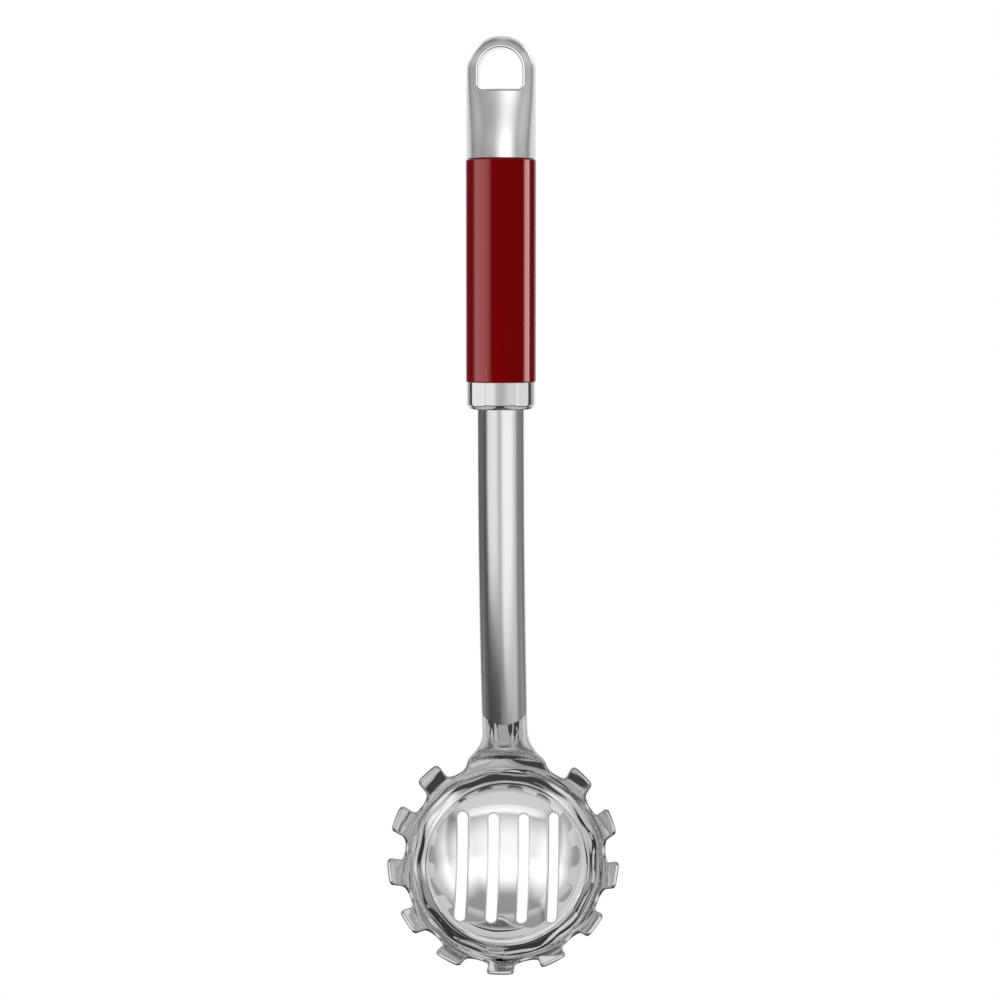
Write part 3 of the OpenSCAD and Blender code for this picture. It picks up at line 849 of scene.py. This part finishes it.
def satin_cast_steel():
    """Fine blasted satin: a grain in the bump and slow cloudiness in the roughness."""
    material, tree, shader = new_finish("satin_steel", Base_Color=(0.60, 0.60, 0.60, 1), Metallic=1.0)
    place = add_node(tree, "TexCoord")["Object"]
    grain = noise(tree, place, 5200.0)
    cloud = noise(tree, place, 160.0)
    spread = add_node(tree, "MapRange", {"Value": cloud, "To Min": 0.27, "To Max": 0.33})
    bump = add_node(tree, "Bump", {"Height": grain, "Strength": 0.15, "Distance": 0.002 * MM})
    wire(tree, shader, {"Roughness": spread["Result"], "Normal": bump["Normal"]})
    return material


end_cap = grid_piece("end_cap_casting", cap_patches(),
                     [satin_cast_steel(), polished("polished_hole_edge", 0.66, 110.0, 0.01, 0.08, 0.14)])
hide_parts("end_cap")
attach(end_cap, "root")

# Studio
# The server hangs in front of a white sweep, over a pale floor. Soft boxes stand round it, each for the
# pieces it lights, and the sides of the room are dark. A dark sheet over the floor, seen only in the steel,
# paints a dark reflection there with a faint painted glow.
view_azimuth = 4.3
view_distance = 1000.0
view_height = -90.75
view_pitch = 3.671
view_yaw = 0.02
focal_px = 2754.8
photo_px = 1000

camera_data = bpy.data.cameras.new("camera")
camera_data.sensor_width = 36.0
camera_data.lens = focal_px / photo_px * camera_data.sensor_width
camera = bpy.data.objects.new("camera", camera_data)
bpy.context.scene.collection.objects.link(camera)
bearing = math.radians(view_azimuth)
camera.location = MM * np.array([view_distance * math.sin(bearing), -view_distance * math.cos(bearing),
                                 view_height])
camera.rotation_euler = (math.radians(90 - view_pitch), 0, bearing + math.radians(view_yaw))
bpy.context.scene.camera = camera
bpy.context.scene.view_settings.view_transform = "Standard"


def levels_round(tree, angle, stops):
    """Level of light by an angle: straight from stop to stop, each an angle in degrees and its level."""
    share = add_node(tree, "MapRange", {"Value": angle, "From Min": -math.pi, "From Max": math.pi})
    ramp = tree.nodes.new("ShaderNodeValToRGB")
    wire(tree, ramp, {"Fac": share["Result"]})
    while len(ramp.color_ramp.elements) < len(stops):
        ramp.color_ramp.elements.new(0.5)
    for element, (degrees, level) in zip(ramp.color_ramp.elements, stops):
        element.position = (degrees + 180) / 360
        element.color = (level, level, level, 1)
    return ramp.outputs["Color"]


horizon_band = math.radians(9)
upright_from = math.radians(24)
white_behind = math.radians(150)
horizon_levels = [(-180, 0.95), (-150, 0.95), (-144, 0.08), (-72, 0.05), (-60, 0.02),
                  (60, 0.02), (72, 0.05), (144, 0.08), (150, 0.95), (180, 0.95)]
upright_levels = [(-180, 0.95), (-150, 0.5), (-120, 0.06), (-40, 0.05), (8, 0.05), (18, 0.5),
                  (60, 0.5), (76, 0.45), (84, 0.06), (108, 0.05), (114, 0.95), (180, 0.95)]


def studio_world():
    """Light by direction. Round the horizon it follows the bearing, which is 0 towards the camera and grows
    to the right; above and below it follows the angle from the front over the ceiling to the back. What the
    camera sees directly is white, and so is the sweep behind the server where the steel shows it."""
    world = bpy.data.worlds.new("studio")
    bpy.context.scene.world = world
    world.use_nodes = True
    tree = world.node_tree
    tree.nodes.clear()
    toward = add_node(tree, "SeparateXYZ", {0: add_node(tree, "TexCoord")["Generated"]})
    front = worked_out(tree, "MULTIPLY", toward["Y"], -1.0)
    around = worked_out(tree, "ARCTAN2", toward["X"], front)
    over = worked_out(tree, "ARCTAN2", toward["Z"], front)
    blend = add_node(tree, "MapRange", {"Value": worked_out(tree, "ABSOLUTE", toward["Z"]),
                                        "From Min": math.sin(horizon_band),
                                        "From Max": math.sin(upright_from)}, interpolation_type="SMOOTHSTEP")
    light = add_node(tree, "Mix", {"Factor": blend["Result"], "A": levels_round(tree, around, horizon_levels),
                                   "B": levels_round(tree, over, upright_levels)}, data_type="RGBA")
    path = add_node(tree, "LightPath")
    in_steel = worked_out(tree, "MAXIMUM", path["Is Glossy Ray"], path["Is Transmission Ray"])
    behind = worked_out(tree, "GREATER_THAN", worked_out(tree, "ABSOLUTE", around), white_behind)
    sweep_in_steel = worked_out(tree, "MULTIPLY", in_steel, behind)
    shown = worked_out(tree, "MAXIMUM", path["Is Camera Ray"], sweep_in_steel)
    seen = add_node(tree, "Mix", {"Factor": shown, "A": light["Result"], "B": (1, 1, 1, 1)}, data_type="RGBA")
    add_node(tree, "OutputWorld", {"Surface": add_node(tree, "Background", {"Color": seen["Result"]})[0]})


studio_world()
floor_drop = 600.0
floor_z = cad_box[0][2] / MM - floor_drop
floor_r = 2000.0
reflection_sheet_lift = 5.0


def round_sheet(z):
    """Flat disc at height z: a circle of points joined to the one in its middle."""
    r = np.array([floor_r, 0.0])[:, None]
    turn = np.linspace(0, 2 * math.pi, 65)[:-1]
    points = np.stack([r * np.cos(turn), r * np.sin(turn), z + 0 * r * turn], -1)
    return points, np.broadcast_to(upward, points.shape), True


def white_floor():
    """Matt white. Seen directly or in the steel it is mostly its own white, and far from the hanging hole
    wholly, so that it is as pale as the sweep; the rest of it takes the light and the shadow."""
    material, tree, shader = new_finish("white_floor", Base_Color=(0.9, 0.9, 0.9, 1), Roughness=0.9)
    far = add_node(tree, "VectorMath", {0: add_node(tree, "TexCoord")["Object"]}, operation="LENGTH")
    own = add_node(tree, "MapRange", {"Value": far["Value"], "From Min": 1.2, "From Max": 2.1,
                                      "To Min": 0.85})
    path = add_node(tree, "LightPath")
    in_steel = worked_out(tree, "MAXIMUM", path["Is Glossy Ray"], path["Is Transmission Ray"])
    shown = worked_out(tree, "MAXIMUM", path["Is Camera Ray"], in_steel)
    mix = add_node(tree, "MixShader", {0: worked_out(tree, "MULTIPLY", shown, own["Result"]),
                                       1: shader.outputs[0], 2: add_node(tree, "Emission")[0]})
    wire(tree, tree.nodes["Material Output"], {"Surface": mix[0]})
    return material


floor = grid_piece("floor", [round_sheet(floor_z)], [white_floor()])


def painted_reflection_sheet_finish():
    """Painted reflection for the steel: black with a faint painted glow that falls with the distance from the
    handle's axis.
    """
    material, tree, shader = new_finish("painted_reflection_sheet", Base_Color=(0.02, 0.02, 0.02, 1), Roughness=0.9,
                                        Emission_Strength=1.0)
    flat = stretched(tree, 1, 1, 0)
    far = add_node(tree, "VectorMath", {0: flat}, operation="LENGTH")
    painted_glow = add_node(tree, "MapRange", {"Value": far["Value"], "From Min": 0.4, "From Max": 1.6,
                                       "To Min": 0.06, "To Max": 0.04})
    wire(tree, shader, {"Emission Color": painted_glow["Result"]})
    return material


# The sheet paints a dark reflection with a faint painted glow: only the steel sees it, and it neither lights
# nor shades the scene.
reflection_sheet = grid_piece("painted_reflection_sheet", [round_sheet(floor_z + reflection_sheet_lift)], [painted_reflection_sheet_finish()])
reflection_sheet.visible_camera = False
reflection_sheet.visible_diffuse = False
reflection_sheet.visible_shadow = False


def soft_box(name, bearing, distance, width, low, high, level, lit,
             edge=0.0, tilt=90, shines=True, fills=True):
    """Flat box of light at a bearing in degrees and a distance from the handle's axis. Tilt 90 stands upright
    and faces the axis, 180 faces up and 0 faces down. Its power is its level, as seen in a mirror, times pi
    and its area; it fades out over a share of its width and height, and lights only the pieces named."""
    light = bpy.data.lights.new(name, "AREA")
    light.shape = "RECTANGLE"
    light.size = width * MM
    light.size_y = (high - low) * MM
    light.energy = level * math.pi * light.size * light.size_y
    if edge > 0:
        light.use_nodes = True
        tree = light.node_tree
        place = add_node(tree, "SeparateXYZ", {0: add_node(tree, "NewGeometry")["Parametric"]})
        fades = [add_node(tree, "MapRange", {"Value": worked_out(tree, "PINGPONG", place[axis], 0.5),
                                             "From Max": edge}, interpolation_type="SMOOTHSTEP")["Result"]
                 for axis in "XY"]
        wire(tree, tree.nodes["Emission"], {"Strength": worked_out(tree, "MULTIPLY", *fades)})
    box = bpy.data.objects.new(name, light)
    turn = math.radians(bearing)
    box.location = MM * np.array([distance * math.sin(turn), -distance * math.cos(turn), (low + high) / 2])
    box.rotation_euler = (math.radians(tilt), 0, turn)
    box.visible_camera = False
    box.visible_glossy = shines
    box.visible_diffuse = fills
    bpy.context.scene.collection.objects.link(box)
    receivers = bpy.data.collections.new(name)
    for piece in lit:
        receivers.objects.link(piece)
    box.light_linking.receiver_collection = receivers


# Each row gives bearing, distance, width, low and high edge, level and the pieces lit; a box that lies flat
# reaches half of high less low to each side of its distance
tube_end = (neck, shaft_polish)
soft_box("front_box", 0, 800, 4600, -870, 250, 0.65, (shaft,), edge=0.2)
soft_box("front_box_left", -42, 800, 1050, -620, 250, 0.6, (shaft,), edge=0.16)
soft_box("front_box_right", 45, 600, 1100, -830, 250, 0.8, (shaft,), edge=0.15)
soft_box("shaft_low_box", 14, 650, 900, -1150, -650, 0.3, (shaft,), edge=0.3, tilt=180)
soft_box("shaft_side_left", -112, 800, 1000, -1100, 300, 0.12, (shaft,), edge=0.3)
soft_box("shaft_side_right", 105, 800, 1200, -1100, 300, 0.25, (shaft,), edge=0.3)
soft_box("ferrule_front", 0, 800, 2800, -620, 300, 0.62, (ferrule,), edge=0.1)
soft_box("ferrule_left", -35, 800, 920, -620, 300, 0.5, (ferrule,), edge=0.35)
soft_box("ferrule_right", 40, 800, 1000, -620, 300, 0.3, (ferrule,), edge=0.45)
soft_box("ferrule_side_left", -82, 800, 815, -620, 300, 1.1, (ferrule,), edge=0.06)
soft_box("ferrule_side_right", 82, 800, 815, -620, 300, 0.95, (ferrule,), edge=0.06)
soft_box("neck_strip_middle", 0, 700, 800, -1350, -450, 0.5, tube_end, edge=0.1, tilt=180)
soft_box("head_box", 0, 800, 2600, -1150, 900, 1.55, (bowl, ring, neck), edge=0.42)
soft_box("bowl_low_box", 0, 740, 2400, -1360, -440, 0.95, (bowl,), edge=0.25, tilt=180)
soft_box("bowl_top_box", 0, 0, 1600, 400, 1000, 0.45, (bowl,), edge=0.15, tilt=0)
soft_box("grip_fill_left", -48, 800, 900, -900, 300, 1.75, (grip, floor), shines=False)
soft_box("grip_fill_right", 48, 800, 900, -900, 300, 1.5, (grip, floor), shines=False)
soft_box("grip_stripe_left", -63, 800, 1300, -500, 300, 4.5, (grip,), edge=0.35, fills=False)
soft_box("grip_stripe_right", 98, 800, 480, -500, 300, 9.0, (grip,), edge=0.3, fills=False)
soft_box("cap_front", 0, 800, 3000, -900, 450, 0.5, (end_cap,), edge=0.1)
soft_box("cap_streak", 18, 790, 1200, -900, 900, 1.8, (end_cap,), edge=0.48)
soft_box("cap_side_left", -80, 800, 580, -900, 900, 0.5, (end_cap,), edge=0.1)
soft_box("cap_side_right", 80, 800, 580, -900, 900, 0.62, (end_cap,), edge=0.1)
soft_box("cap_top_box", 0, 154, 1600, 652, 1148, 0.4, (end_cap,), edge=0.05, tilt=0)
for side, way in (("left", -1), ("right", 1)):
    soft_box("ferrule_low_" + side, way * 90, 530, 1600, -1270, -530, 0.6, (ferrule,), edge=0.06, tilt=180)
    soft_box("ferrule_rim_" + side, way * 138, 800, 420, -620, 300, 0.45, (ferrule,), edge=0.06)
    soft_box("neck_strip_" + side, way * 50, 700, 300, -1350, -450, 0.65, tube_end, edge=0.2, tilt=180)
    soft_box("neck_strip_far_" + side, way * 80, 700, 220, -1350, -450, 0.8, tube_end, edge=0.2, tilt=180)
    soft_box("head_rim_" + side, way * 118, 800, 850, -900, 300, 0.6, (bowl, ring, *tube_end), edge=0.15)
    soft_box("bowl_side_" + side, way * 54, 800, 760, -900, 900, 1.0, (bowl,), edge=0.4)
    soft_box("bowl_far_" + side, way * 88, 800, 900, -900, 900, 0.45, (bowl,), edge=0.1)
    soft_box("ring_side_" + side, way * 52, 800, 640, -900, 250, 0.8, (ring, neck), edge=0.2)
    soft_box("cap_rim_" + side, way * 130, 800, 580, -900, 900, 1.0, (end_cap,), edge=0.1)
